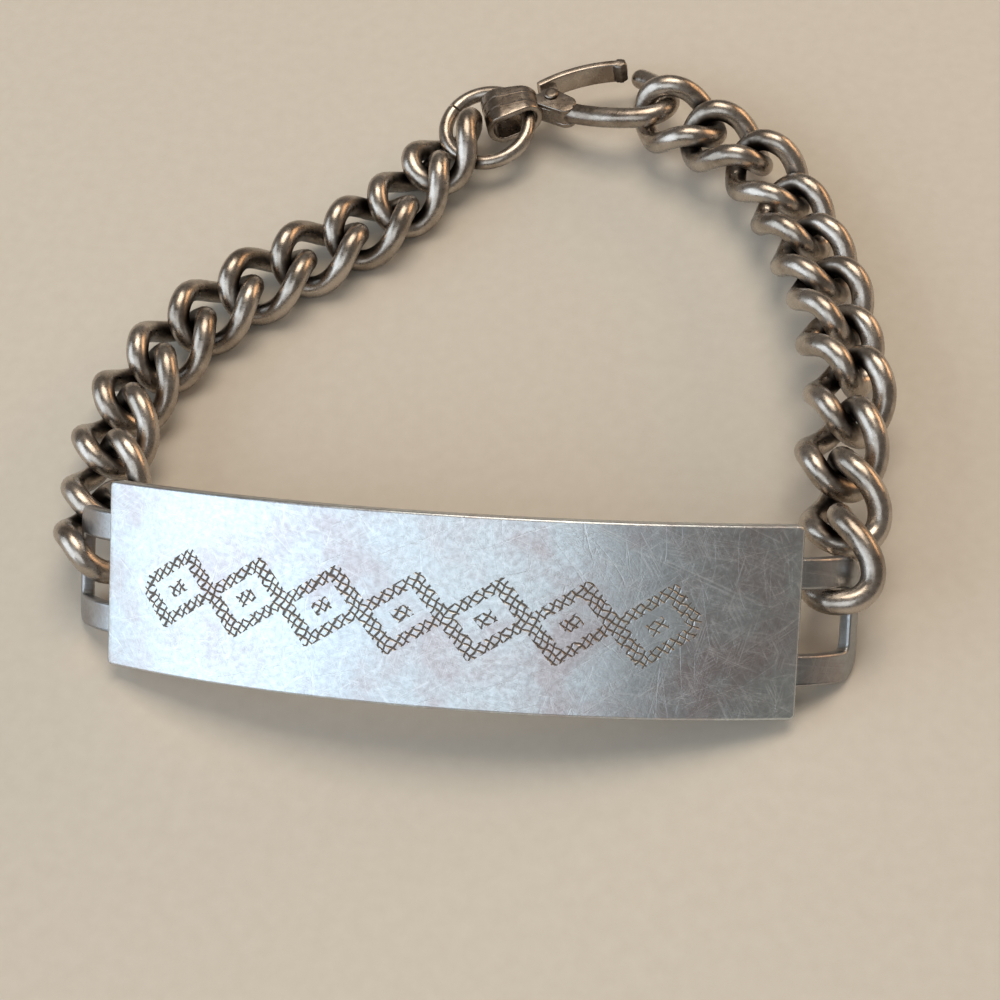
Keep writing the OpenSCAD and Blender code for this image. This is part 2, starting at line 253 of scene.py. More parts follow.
# %% Where each solid lies
def balance_axes(solid):
    """A solid's centre of mass in mm, and its three balance axes as columns, longest first."""
    mesh = solid.data
    mesh.calc_loop_triangles()
    co = np.array([v.co for v in mesh.vertices]) / MM
    tri = co[np.array([t.vertices for t in mesh.loop_triangles])]
    origin = co.mean(0)
    tri = tri - origin
    volume = np.einsum("ij,ij->i", tri[:, 0], np.cross(tri[:, 1], tri[:, 2])) / 6
    centre = (volume[:, None] * tri.sum(1) / 4).sum(0) / volume.sum()
    tri = tri - centre
    volume = np.einsum("ij,ij->i", tri[:, 0], np.cross(tri[:, 1], tri[:, 2])) / 6
    total = tri.sum(1)
    spread = np.einsum("i,ij,ik->jk", volume, total, total)
    for corner in range(3):
        spread += np.einsum("i,ij,ik->jk", volume, tri[:, corner], tri[:, corner])
    axes = np.linalg.eigh(spread / 20)[1][:, ::-1]
    if np.linalg.det(axes) < 0:
        axes[:, 2] = -axes[:, 2]
    return centre + origin, axes


link_names = [n for n in names if "_link_" in n]
placed = {n: balance_axes(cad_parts[n]) for n in link_names}
print(len(placed), "links found; the first lies at", placed[link_names[0]][0].round(1))

# %% [markdown]
# Tarnish gathers where wires nearly touch, and the dark painted there is partly that tarnish and partly
# painted shade. For every point of a link the distance to the middle lines of the links beside it is
# measured: at 0.62 of a wire or less it is dark, and from 1.25 wires on it is not darkened. The
# result is stored on the mesh as a number per point, which the metal reads.

# %% All links, with their tarnish and painted shade
RUNS = [sorted(n for n in link_names if n.startswith(side)) for side in ("left", "right")]
DARK_AT, UNDARKENED_AT = 0.62 * WIRE, 1.25 * WIRE


def nearest(points, lines):
    """Distance from each point to the nearest of some lines' points, found in 12 lots to save memory."""
    target = np.concatenate(lines)
    return np.concatenate([
        np.sqrt(((part[:, None] - target[None]) ** 2).sum(-1)).min(1)
        for part in np.array_split(points, 12)])


def store(piece, values, name="tarnish_and_shade"):
    """Keeps a number from 0 to 1 for each point of a piece, for its metal to read."""
    layer = piece.data.attributes.new(name, "FLOAT", "POINT")
    layer.data.foreach_set("value", np.clip(values, 0, 1).astype(np.float32))


link_faces = tube_faces(LINK_RINGS, LINK_SIDES, True)
middles = {n: link_middle @ placed[n][1].T + placed[n][0] for n in link_names}
for run in RUNS:
    for i, name in enumerate(run):
        centre, axes = placed[name]
        points = link_points @ axes.T + centre
        beside = [middles[run[k]] for k in (i - 1, i + 1) if 0 <= k < len(run)]
        wire = finished(name + "_wire", points, link_faces, chain_silver, [name])
        gap = nearest(points, beside)
        # darker where a link nearly meets its neighbours: tarnish and painted shade
        store(wire, (UNDARKENED_AT - gap) / (UNDARKENED_AT - DARK_AT))
print("laid", len(link_names), "links of", len(link_faces), "faces each")

# %% [markdown]
# ## Silver for the plate
# The plate is rolled sterling sheet, polished and then rubbed by sleeves and tables for decades. It
# has a soft sheen under hundreds of hairlines that run every way, a few deep scratches and
# a faint bloom of tarnish. Hairlines are stretched noise: squeezed to 0.14 to 0.18 mm across and 6 to
# 11 mm along, then cut to a thin band of its values, which leaves broken straight lines. The deep
# scratches are made in the same way from wider noise, cut to a much thinner band.

# %% Plate metal
plate_silver, tree, shader = metal("worn_sterling_sheet", "#D3D5DC", 0.33)
flat = node(tree, "UVMap", uv_map="sheet_mm")


def hairlines(angle, across, along, width, seed):
    """Broken straight scratches in one direction, as white lines on black."""
    turned = node(tree, "Mapping", {"Vector": flat, "Rotation": (0, 0, math.radians(angle)),
                                    "Location": (seed, 3.1 * seed, 0)})
    squeezed = node(tree, "Mapping", {"Vector": turned, "Scale": (1 / along, 1 / across, 1)})
    noise = node(tree, "TexNoise", {"Vector": squeezed, "Scale": 1, "Detail": 1, "Roughness": 0.4})
    off = maths(tree, "ABSOLUTE", maths(tree, "SUBTRACT", noise, 0.5))
    line = node(tree, "MapRange", {"Value": off, "From Min": 0, "From Max": width,
                                   "To Min": 1, "To Max": 0})
    # patches of a second noise break the lines up
    patch = node(tree, "Mapping", {"Vector": turned, "Scale": (2.2 / along, 0.9, 1),
                                   "Location": (9, seed, 0)})
    patch = node(tree, "TexNoise", {"Vector": patch, "Scale": 1, "Detail": 2})
    patch = node(tree, "MapRange", {"Value": patch, "From Min": 0.48, "From Max": 0.56})
    return maths(tree, "MULTIPLY", line, patch)


def crossed(rows, first_seed):
    """Lines in several directions, laid over each other."""
    laid = None
    for seed, row in enumerate(rows, first_seed):
        lines = hairlines(*row, seed)
        laid = lines if laid is None else maths(tree, "MAXIMUM", laid, lines)
    return laid


# direction in degrees, mm across, mm along, and the width of the band of values that is a line
fine = crossed([(8, 0.14, 9, 0.03), (-34, 0.17, 7, 0.03), (61, 0.17, 6, 0.028), (-74, 0.18, 8, 0.026),
                (24, 0.16, 11, 0.028)], 1)
deep = crossed([(52, 1.3, 13, 0.007), (-18, 1.5, 15, 0.006), (84, 1.2, 12, 0.007)], 11)
print("hairlines and deep scratches laid over the sheet")

# %% [markdown]
# The engraver's mark on the real plate is a name, which this reusable part doesn't carry. In its
# place, at the same size and lean, is a plain border of lozenges, cut in the same wriggle-cut
# manner: a narrow graver rocked from side to side leaves a ribbon of tiny crossing cuts.

# %% Wriggle-cut lozenges
BORDER_FROM, BORDER_TO = -20.5, 17.4    # along the plate, mm
BORDER_HIGH, BORDER_MID = 2.75, -0.25   # half height, and middle across the plate, mm
LOZENGES = 7
BORDER_LEAN = 0.36
RIBBON = 0.46                           # half width of a ribbon of cuts, mm
HEART = 0.3                             # size of the filled lozenge in each, as a share of the whole
CUT_STEP, CUT_WIDTH = 0.46, 0.2         # spacing of the cuts, mm, and the share of it where one has faded
CUT_ANGLES, CUT_SHAKE = (62, -28), 0.5  # directions of the two rows, and how far the hand shook, mm

pace = (BORDER_TO - BORDER_FROM) / LOZENGES
reach = BORDER_HIGH - RIBBON            # half height to the middle of a ribbon, mm
u = node(tree, "SeparateXYZ", {"Vector": flat})
v = maths(tree, "SUBTRACT", u.node.outputs[1], BORDER_MID)
lean = maths(tree, "MULTIPLY_ADD", v, -BORDER_LEAN, u)
lean = maths(tree, "SUBTRACT", lean, BORDER_FROM)
cell = maths(tree, "FRACT", maths(tree, "DIVIDE", lean, pace))
cell = maths(tree, "ABSOLUTE", maths(tree, "SUBTRACT", cell, 0.5))
high = maths(tree, "DIVIDE", maths(tree, "ABSOLUTE", v), reach)
# 0 in the middle of a lozenge and 1 on the middle line of its ribbon
lozenge = maths(tree, "MULTIPLY_ADD", cell, 2.0, high)
heart = maths(tree, "LESS_THAN", lozenge, HEART)
rim = maths(tree, "ABSOLUTE", maths(tree, "SUBTRACT", lozenge, 1.0))
ribbon = maths(tree, "LESS_THAN", rim, RIBBON * math.hypot(2 / pace, 1 / reach))
ribbon = maths(tree, "MAXIMUM", ribbon, heart)
inside = maths(tree, "LESS_THAN", high, 1 + RIBBON / reach)
from_end = maths(tree, "GREATER_THAN", lean, 0.0)
to_end = maths(tree, "LESS_THAN", lean, BORDER_TO - BORDER_FROM)
for limit in (inside, from_end, to_end):
    ribbon = maths(tree, "MULTIPLY", ribbon, limit)
shaky = node(tree, "TexNoise", {"Vector": flat, "Scale": 1.1, "Detail": 1})
rows = []
for angle in CUT_ANGLES:
    across = maths(tree, "MULTIPLY", u, math.cos(math.radians(angle)))
    across = maths(tree, "MULTIPLY_ADD", v, math.sin(math.radians(angle)), across)
    across = maths(tree, "MULTIPLY_ADD", shaky, CUT_SHAKE, across)
    phase = maths(tree, "PINGPONG", maths(tree, "DIVIDE", across, CUT_STEP), 0.5)
    rows.append(node(tree, "MapRange", {"Value": phase, "From Min": 0, "From Max": CUT_WIDTH,
                                        "To Min": 1, "To Max": 0}, interpolation_type="SMOOTHSTEP"))
cut = maths(tree, "MULTIPLY", maths(tree, "MAXIMUM", *rows), ribbon)
# the border is cut on the front alone
front = node(tree, "Attribute", out=2, attribute_name="front")
cut = maths(tree, "MULTIPLY", cut, front)
print(LOZENGES, "lozenges,", round(pace, 1), "mm apart")

# %% Plate metal, put together
SHEEN, BLOOM, GRAIN = "#CDD5DA", "#C3BDC0", "#77797C"
FRESH, DARKER_TONE, DIRT = "#F4F6F8", "#5A4A40", "#4B3A2B"
bloom = node(tree, "TexNoise", {"Vector": flat, "Scale": 0.16, "Detail": 6, "Roughness": 0.62})
bloom = node(tree, "MapRange", {"Value": bloom, "From Min": 0.46, "From Max": 0.62})
speckle = node(tree, "TexNoise", {"Vector": flat, "Scale": 2.6, "Detail": 4, "Roughness": 0.7})
speckle = node(tree, "MapRange", {"Value": speckle, "From Min": 0.4, "From Max": 0.62})
colour = blend(tree, bloom, SHEEN, BLOOM)
colour = blend(tree, maths(tree, "MULTIPLY", speckle, 0.14), colour, GRAIN)
# a fresh scratch is bare bright metal, so it shows lighter than the dull sheet round it
fresh = maths(tree, "MULTIPLY", maths(tree, "MAXIMUM", deep, fine), 0.4)
colour = blend(tree, fresh, colour, FRESH)
# the loops and the back of the sheet are drawn darker, by the stored share
colour = blend(tree, node(tree, "Attribute", out=2, attribute_name="tarnish_and_shade"), colour, DARKER_TONE)
colour = blend(tree, maths(tree, "MULTIPLY", cut, 0.85), colour, DIRT)
tree.links.new(colour, shader.inputs["Base Color"])
rough = node(tree, "MapRange", {"Value": speckle, "To Min": 0.3, "To Max": 0.4})
rough = maths(tree, "MULTIPLY_ADD", fine, 0.08, rough)
rough = maths(tree, "MULTIPLY_ADD", cut, 0.1, rough)
tree.links.new(rough, shader.inputs["Roughness"])
waves = node(tree, "TexNoise", {"Vector": flat, "Scale": 0.22, "Detail": 2})
bump = node(tree, "Bump", {"Height": waves, "Strength": 0.12, "Distance": 0.4 * MM})
for height, strength, depth, sunk in ((speckle, 0.16, 0.02, False), (fine, 0.14, 0.02, True),
                                      (deep, 0.2, 0.03, True), (cut, 0.9, 0.09, True)):
    bump = node(tree, "Bump", {"Height": height, "Strength": strength, "Distance": depth * MM,
                               "Normal": bump}, invert=sunk)
tree.links.new(bump, shader.inputs["Normal"])
print("made", plate_silver.name)

# %% [markdown]
# ## The plate and its end loops
# The plate was sawn from flat sheet and bent over a former; the loops, of thinner sheet, were bent
# back further so that the chain leaves downwards. The mesh is made the same way: a flat outline gets
# its thickness and rounded edges from a curve's bevel, is cut into small cells, and is then bent.

# %% Flat sheets
PLATE_LONG, PLATE_WIDE, PLATE_THICK = 48.2, 12.7, 1.2
PLATE_BEND, PLATE_LEAN, CORNER = 52.0, 47.0, 0.4
LOOP_REACH, LOOP_WIDE, LOOP_THICK, LOOP_BEND, LOOP_CORNER = 5.2, 8.4, 0.9, 42.0, 1.8
SLOT_HIGH, BAR_WIDE = 4.3, 1.15
CHORD_HEIGHT = 5.04                     # the plate's chord over the surface it lies on
LOOP_UNDER, SLOT_UNDER = 0.6, 0.2       # how far a loop and its slot start inside the plate's end
SLOT_CORNER, ROOT_CORNER, SLOT_ROOT_CORNER = 0.45, 0.1, 0.15
PLATE_EDGE, LOOP_EDGE = 0.2, 0.22       # how far the edges are rounded
LOOP_CELL = 0.35                        # the loops bend more, so their cells are smaller
# how much darker the loops, and the back of the sheet, are drawn
LOOP_DARKER, BACK_DARKER = 0.45, 0.3
HALF = PLATE_LONG / 2
HALF_TURN = HALF / PLATE_BEND
LOOP_RADIUS = LOOP_REACH / math.radians(LOOP_BEND)


def rounded(x0, y0, x1, y1, corners, steps=10):
    """Outline of a rectangle, with a radius for each corner from lower left round."""
    path = []
    turns = [(x0, y0, 180), (x1, y0, 270), (x1, y1, 0), (x0, y1, 90)]
    for (x, y, first), r in zip(turns, corners):
        cx = x + r if x == x0 else x - r
        cy = y + r if y == y0 else y - r
        for k in range(steps + 1):
            a = math.radians(first + 90 * k / steps)
            path.append((cx + r * math.cos(a), cy + r * math.sin(a)))
    return path


def sheet(outlines, thick, edge, cell=0.5):
    """A flat sheet with rounded edges, cut into cells, as a bmesh in millimetres."""
    curve = bpy.data.curves.new("outline", "CURVE")
    curve.dimensions = "2D"
    curve.fill_mode = "BOTH"
    curve.extrude = thick / 2 - edge
    curve.bevel_depth = edge
    curve.bevel_resolution = 3
    curve.offset = -edge
    for path in outlines:
        spline = curve.splines.new("POLY")
        spline.points.add(len(path) - 1)
        for point, (x, y) in zip(spline.points, path):
            point.co = (x, y, 0, 1)
        spline.use_cyclic_u = True
    holder = bpy.data.objects.new("outline", curve)
    bpy.context.scene.collection.objects.link(holder)
    mesh = bpy.data.meshes.new_from_object(holder.evaluated_get(bpy.context.evaluated_depsgraph_get()))
    bpy.data.objects.remove(holder)
    bm = bmesh.new()
    bm.from_mesh(mesh)
    bpy.data.meshes.remove(mesh)
    bmesh.ops.remove_doubles(bm, verts=bm.verts, dist=1e-4)
    for axis in (0, 1):
        low = min(v.co[axis] for v in bm.verts)
        high = max(v.co[axis] for v in bm.verts)
        count = int((high - low) / cell)
        normal = Vector((1 - axis, axis, 0))
        for k in range(1, count):
            everything = list(bm.verts) + list(bm.edges) + list(bm.faces)
            bmesh.ops.bisect_plane(bm, geom=everything, plane_co=normal * (low + (high - low) * k / count),
                                   plane_no=normal)
    return bm


def bent(s, v, t):
    """A point of the flat sheet, s along, v across and t out of it, to its place in millimetres."""
    side = -1 if s < 0 else 1
    s = abs(s)
    if s <= HALF:
        a = s / PLATE_BEND
        x, y = PLATE_BEND * math.sin(a), PLATE_BEND * (math.cos(a) - math.cos(HALF_TURN))
    else:
        a = HALF_TURN + (s - HALF) / LOOP_RADIUS
        x = PLATE_BEND * math.sin(HALF_TURN) + LOOP_RADIUS * (math.sin(a) - math.sin(HALF_TURN))
        y = LOOP_RADIUS * (math.cos(a) - math.cos(HALF_TURN))
    x, y = x + t * math.sin(a), y + t * math.cos(a)
    lean = math.radians(PLATE_LEAN)
    return Vector((side * x, -y * math.cos(lean) + v * math.sin(lean),
                   y * math.sin(lean) + v * math.cos(lean) + CHORD_HEIGHT)) - MIDDLE


print("loop radius", round(LOOP_RADIUS, 2), "mm")

# %% Bent into the plate
parts = [sheet([rounded(-HALF, -PLATE_WIDE / 2, HALF, PLATE_WIDE / 2, [CORNER] * 4)],
               PLATE_THICK, PLATE_EDGE)]
for side in (-1, 1):
    outer = rounded(HALF - LOOP_UNDER, -LOOP_WIDE / 2, HALF + LOOP_REACH, LOOP_WIDE / 2,
                    [ROOT_CORNER, LOOP_CORNER, LOOP_CORNER, ROOT_CORNER])
    slot = rounded(HALF - SLOT_UNDER, -SLOT_HIGH / 2, HALF + LOOP_REACH - BAR_WIDE, SLOT_HIGH / 2,
                   [SLOT_ROOT_CORNER, SLOT_CORNER, SLOT_CORNER, SLOT_ROOT_CORNER])
    outlines = [[(side * x, y) for x, y in path] for path in (outer, slot)]
    parts.append(sheet(outlines, LOOP_THICK, LOOP_EDGE, LOOP_CELL))

points, faces, flat_places = [], [], []
for bm in parts:
    base = len(points)
    bm.verts.ensure_lookup_table()
    bm.verts.index_update()
    flat_places += [tuple(v.co) for v in bm.verts]
    points += [bent(*v.co) for v in bm.verts]
    faces += [[base + v.index for v in f.verts] for f in bm.faces]
    bm.free()
plate = finished("plate_sheet", points, faces, plate_silver, ["plate"], sharp=30)
uv = plate.data.uv_layers.new(name="sheet_mm")
for loop in plate.data.loops:
    uv.data[loop.index].uv = flat_places[loop.vertex_index][:2]
places = np.array(flat_places)
on_loop = np.abs(places[:, 0]) > HALF - 0.1
# the loops are darker all over, and the back of the sheet a little
store(plate, np.where(on_loop, LOOP_DARKER, BACK_DARKER * (places[:, 2] < 0)))
store(plate, places[:, 2] > 0, "front")
print("plate of", len(faces), "faces")

# %% [markdown]
# ## Jump ring
# A ring of round wire, closed with pliers: its two cut ends face each other over a gap of 0.15 mm.
# Wear has rounded their rims, so the last sections on both sides of the cut shrink a little.

# %% Jump ring
RING_WIRE, RING_WIDE, RING_CUT = 1.15, 7.85, 0.15
RING_AT = Vector((-5.18, 46.25, 2.76)) - MIDDLE
RING_TILT, RING_SIDE, RING_CUT_AT = 10.5, -2, 150
RING_SIDES, RING_STEPS = 20, 120
CUT_ROWS = [(0.0, 0.55), (0.004, 0.86), (0.012, 1.0)]   # radians from the cut, share of the wire
# the ring is darkened near the first link, by tarnish and painted shade, out to this distance in mm
RING_UNDARKENED_AT = 1.9                     # where the first link's tarnish ends, mm from its middle line

ring_place = (Matrix.Translation(RING_AT) @ Matrix.Rotation(math.radians(RING_SIDE), 4, "Y")
              @ Matrix.Rotation(math.radians(RING_TILT), 4, "X"))
radius = (RING_WIDE - RING_WIRE) / 2
half_cut = RING_CUT / RING_WIDE
eased = CUT_ROWS[-1][0]
round_turn = 2 * math.pi - 2 * (half_cut + eased)
stations = [(half_cut + turn, share) for turn, share in CUT_ROWS]
stations += [(half_cut + eased + round_turn * i / RING_STEPS, 1.0) for i in range(1, RING_STEPS)]
stations += [(2 * math.pi - half_cut - turn, share) for turn, share in reversed(CUT_ROWS)]
points = []
for turn, share in stations:
    angle = math.radians(RING_CUT_AT) + turn
    thick = RING_WIRE / 2 * share
    for j in range(RING_SIDES):
        a = 2 * math.pi * j / RING_SIDES
        out = radius + thick * math.cos(a)
        points.append(ring_place @ Vector((out * math.cos(angle), out * math.sin(angle),
                                           -thick * math.sin(a))))
ring = finished("jump_ring_wire", points, tube_faces(len(stations), RING_SIDES, False), chain_silver,
                ["jump_ring"])
# darker where the first link meets the ring: tarnish and painted shade
store(ring, RING_UNDARKENED_AT - nearest(np.array(points), [middles["left_link_01"]]))
print("jump ring of", len(stations), "sections")

# %% [markdown]
# ## The snap hook
# The clasp is one strap folded round the jump ring into an eye, two cheeks that hold a pin, a bent
# round bar that ends in a nose, and a thin arched tongue that swings in on the pin. All are laid
# out in the clasp's own frame, x along it and z up. The cheeks, the web between them and the
# tongue's lug are flat plates cut to an outline, and the rest are strings of sections. Both ways
# let every edge be softened as filing and wear soften it.

# %% The clasp's frame
CLASP_AT = Vector((-2.46, 47.65, 3.1)) - MIDDLE
CLASP_YAW = 20
EYE_AT, PIN_AT = Vector((-0.8, 0.3, 0)), Vector((2.5, 0.4, 0))
BAR_START, BAR_HEADING, BAR_ROLL, BAR_TILT = Vector((3.35, -0.9, 0)), -47.2, -16.9, 1.7
BAR_BENDS = [(12.5, 28.3), (2.3, 108), (7.3, 36.4)]
HOOK_WIRE = 1.6
STRAP_WIDE, STRAP_THICK, EYE_LONG, EYE_HIGH = 3.4, 0.5, 4.6, 2.9
TONGUE_START, TONGUE_HEADING, TONGUE_RADIUS, TONGUE_TURN = Vector((1.75, 1.92, 0)), 22, 11, 36
TONGUE_THICK, TONGUE_HIGH, LUG_HIGH, LUG_RADIUS, PIN_WIDE = 0.6, 1.9, 0.9, 0.7, 0.6


def turning(angle, axis):
    """A turn by degrees about one axis."""
    return Matrix.Rotation(math.radians(angle), 4, axis)


clasp_place = Matrix.Translation(CLASP_AT) @ turning(CLASP_YAW, "Z")
ROUND_SIDES = 24
ROUND = [2 * math.pi * j / ROUND_SIDES for j in range(ROUND_SIDES)]


def soft_box(wide, high, edge):
    """Section of a bar with softened edges, as points (across, up)."""
    return rounded(-wide / 2, -high / 2, wide / 2, high / 2, [edge] * 4, 4)


def round_section(centre, radius, z, swell=(1,) * ROUND_SIDES):
    """Points round an upright axis, each with its own swell on the radius."""
    return [centre + Vector((radius * s * math.cos(a), -radius * s * math.sin(a), z))
            for a, s in zip(ROUND, swell)]


def strung(name, sections, solids, closed=False, body="bracelet", sharp=50):
    """A piece from sections given in the clasp's frame, one after another."""
    points = [clasp_place @ Vector(p) for section in sections for p in section]
    faces = tube_faces(len(sections), len(sections[0]), closed)
    return finished(name, points, faces, clasp_silver, solids, body, sharp)


print("clasp frame ready")

# %% The folded strap
GROOVES, GROOVE_HALF, GROOVE_DEEP, STRAP_EDGE = (-0.41, 0.71), 0.1, 0.1, 0.14
NARROW_NEAR, NARROW_FAR = 0.55, 0.75    # the strap's half widths at the hinge, as shares of the full
EDGE_STEPS, EYE_STEPS = 4, 16
EYE_FLAT = 0.01                         # what is left straight between the eye's two half rounds, mm


def edge_round(out, across, first):
    """A quarter round of the strap's softened edge, from the angle first on."""
    turns = [math.radians(first + 90 * k / EDGE_STEPS) for k in range(EDGE_STEPS + 1)]
    return [(out + STRAP_EDGE * math.cos(a), across + STRAP_EDGE * math.sin(a)) for a in turns]


def strap_section(x):
    """Points (out, across) of the strap, where it lies at x in the eye."""
    slope = min(1, max(0, (x + EYE_LONG / 6) / (EYE_LONG / 2 + EYE_LONG / 6)))
    near = -STRAP_WIDE / 2 * (1 - slope * (1 - NARROW_NEAR))
    far = STRAP_WIDE / 2 * (1 - slope * (1 - NARROW_FAR))
    half = STRAP_THICK / 2
    row = edge_round(half - STRAP_EDGE, near + STRAP_EDGE, -90)
    for g in GROOVES:
        row += [(half, g - GROOVE_HALF), (half - GROOVE_DEEP, g - GROOVE_HALF / 3),
                (half - GROOVE_DEEP, g + GROOVE_HALF / 3), (half, g + GROOVE_HALF)]
    row += edge_round(half - STRAP_EDGE, far - STRAP_EDGE, 0)
    row += edge_round(STRAP_EDGE - half, far - STRAP_EDGE, 90)
    return row + edge_round(STRAP_EDGE - half, near + STRAP_EDGE, 180)


long, high = EYE_LONG - STRAP_THICK, EYE_HIGH - STRAP_THICK
path = rounded(-long / 2, -high / 2, long / 2, high / 2, [high / 2 - EYE_FLAT] * 4, EYE_STEPS)
sections = []
for i, (x, z) in enumerate(path):
    ahead, behind = path[(i + 2) % len(path)], path[i - 2]
    along = Vector((ahead[0] - behind[0], ahead[1] - behind[1])).normalized()
    out = Vector((along.y, -along.x))
    sections.append([EYE_AT + Vector((x + n * out.x, y, z + n * out.y)) for n, y in strap_section(x)])
strap = strung("clasp_strap", [list(reversed(r)) for r in sections], [], True)
print("strap of", len(sections), "sections")

# %% The hook's bar
BEND_STEPS, TIP_STEPS = 14, 6
TIP_TURN = 89                           # degrees of the end's dome, short of 90 so as not to end in a point


def arc_line(bends):
    """Points and headings along arcs laid end to end, from the origin along +x."""
    x, y, heading, line = 0.0, 0.0, 0.0, []
    for radius, turn in bends:
        step = math.radians(turn) / BEND_STEPS
        for k in range(BEND_STEPS):
            line.append((x, y, heading))
            x += 2 * radius * math.sin(step / 2) * math.cos(heading + step / 2)
            y += 2 * radius * math.sin(step / 2) * math.sin(heading + step / 2)
            heading += step
    return line + [(x, y, heading)]


bar_place = (Matrix.Translation(BAR_START) @ turning(BAR_TILT, "Y") @ turning(BAR_ROLL, "X")
             @ turning(BAR_HEADING, "Z"))
line = [(x, y, h, HOOK_WIRE / 2) for x, y, h in arc_line(BAR_BENDS)]
x, y, h, r = line[-1]
for k in range(1, TIP_STEPS + 1):
    a = math.radians(TIP_TURN * k / TIP_STEPS)
    line.append((x + r * math.sin(a) * math.cos(h), y + r * math.sin(a) * math.sin(h), h, r * math.cos(a)))
sections = []
for x, y, h, r in line:
    ring = []
    for a in ROUND:
        ring.append(bar_place @ Vector((x - r * math.cos(a) * math.sin(h), y + r * math.cos(a) * math.cos(h),
                                        -r * math.sin(a))))
    sections.append(ring)
bar = strung("clasp_bar", sections, ["clasp_hook"])
print("bar of", len(sections), "sections")

# %% Cheeks, web and pin
UNCUT = 9                               # a cell larger than these pieces, which aren't bent, so stay whole
SLAB_SHARP = 35
CIRCLE_STEPS = 40


def slab(name, outline, low, high, edge, body="bracelet"):
    """A flat plate with rounded edges, cut to an outline in the clasp's plane, between two heights."""
    bm = sheet([outline], high - low, edge, UNCUT)
    bm.verts.index_update()
    points = [clasp_place @ Vector((v.co.x, v.co.y, v.co.z + (low + high) / 2)) for v in bm.verts]
    faces = [[v.index for v in f.verts] for f in bm.faces]
    bm.free()
    return finished(name, points, faces, clasp_silver, [], body, SLAB_SHARP)


def wrapped(circles):
    """Outline pulled tight round some circles, each x, y and radius."""
    turns = [2 * math.pi * k / CIRCLE_STEPS for k in range(CIRCLE_STEPS)]
    cloud = sorted((x + r * math.cos(a), y + r * math.sin(a)) for x, y, r in circles for a in turns)
    hull = []
    for points in (cloud, cloud[::-1]):
        part = []
        for p in points:
            while len(part) > 1 and ((part[-1][0] - part[-2][0]) * (p[1] - part[-2][1])
                                     - (part[-1][1] - part[-2][1]) * (p[0] - part[-2][0])) <= 1e-9:
                part.pop()
            part.append(p)
        hull += part[:-1]
    return hull


EYE_END = EYE_AT.x + EYE_LONG / 2
ROOT_AT = EYE_END - 0.05                # cheeks and web start just inside the end of the eye
CHEEK_ROOT = [(ROOT_AT, -0.1, 0.25), (ROOT_AT, 0.62, 0.25), (BAR_START.x, BAR_START.y, 0.9)]
WEB_ROOT = [(ROOT_AT, -0.25, 0.2), (2.2, -0.75, 0.2), (BAR_START.x, BAR_START.y, 0.85)]
CHEEK_EDGE, WEB_EDGE, LUG_EDGE = 0.12, 0.05, 0.06
CHEEK_PLAY, WEB_OVERLAP = 0.06, 0.1     # between lug and cheek, and of the web with each cheek, mm
LUG_AT_PIN = (PIN_AT.x, PIN_AT.y, LUG_RADIUS)

half_gap = LUG_HIGH / 2 + CHEEK_PLAY
cheek = wrapped(CHEEK_ROOT + [LUG_AT_PIN])
cheek_high = slab("clasp_cheek_high", cheek, half_gap, TONGUE_HIGH / 2, CHEEK_EDGE)
cheek_low = slab("clasp_cheek_low", cheek, -TONGUE_HIGH / 2, -half_gap, CHEEK_EDGE)
web_top = half_gap + WEB_OVERLAP
web = slab("clasp_web", wrapped(WEB_ROOT), -web_top, web_top, WEB_EDGE)

# the rivet's head, from its middle outwards: height and radius, mm
DOME = [(0.0, 0.001), (0.02, 0.28), (0.0, 0.46), (-0.07, 0.56), (-0.14, 0.58), (-0.2, 0.54)]
RIVET_PROUD = 0.25                      # how far the head's top stands over the cheek

head_at = TONGUE_HIGH / 2 + RIVET_PROUD
shaft_end = head_at + DOME[-1][0]
sections = [round_section(PIN_AT, radius, head_at + rise) for rise, radius in DOME]
sections += [round_section(PIN_AT, PIN_WIDE / 2, z) for z in (shaft_end, -shaft_end)]
sections += [round_section(PIN_AT, radius, -head_at - rise) for rise, radius in reversed(DOME)]
pin = strung("clasp_pin_rivet", sections, ["clasp_pin"])
print("cheeks and pin made")

# %% The tongue
TONGUE_STEPS, TONGUE_EDGE = 40, 0.13
END_SHARES = (0.8, 0.96)                # of its thickness, that the strip keeps in the two sections at an end
HEIGHT_EASE = 0.03                      # the share of that loss that its height has too
NUB_ROUGH, NUB_UNEVEN = 0.07, 0.03
# the nub's sections: height as a share of half the tongue's, and radius, mm
NUB = [(0.99, 0.05), (0.99, 0.32), (0.93, 0.46), (0.8, 0.54), (0.3, 0.56), (-0.3, 0.54), (-0.8, 0.55),
       (-0.93, 0.46), (-0.99, 0.3), (-0.99, 0.05)]

tongue_place = Matrix.Translation(TONGUE_START) @ turning(TONGUE_HEADING, "Z")
profile = soft_box(TONGUE_THICK, TONGUE_HIGH, TONGUE_EDGE)
sections = []
for k in range(TONGUE_STEPS + 1):
    a = math.radians(TONGUE_TURN * k / TONGUE_STEPS)
    from_end = min(k, TONGUE_STEPS - k)
    share = END_SHARES[from_end] if from_end < len(END_SHARES) else 1
    rise = 1 - HEIGHT_EASE * (1 - share)
    out = Vector((math.sin(a), math.cos(a), 0))
    middle = TONGUE_RADIUS * out - Vector((0, TONGUE_RADIUS, 0))
    sections.append([tongue_place @ (middle - out * n * share + Vector((0, 0, z * rise)))
                     for n, z in profile])
tongue = strung("clasp_tongue_strip", sections, ["clasp_tongue"], body="tongue")
a = math.radians(TONGUE_TURN)
tip = tongue_place @ Vector((TONGUE_RADIUS * math.sin(a), TONGUE_RADIUS * (math.cos(a) - 1), 0))
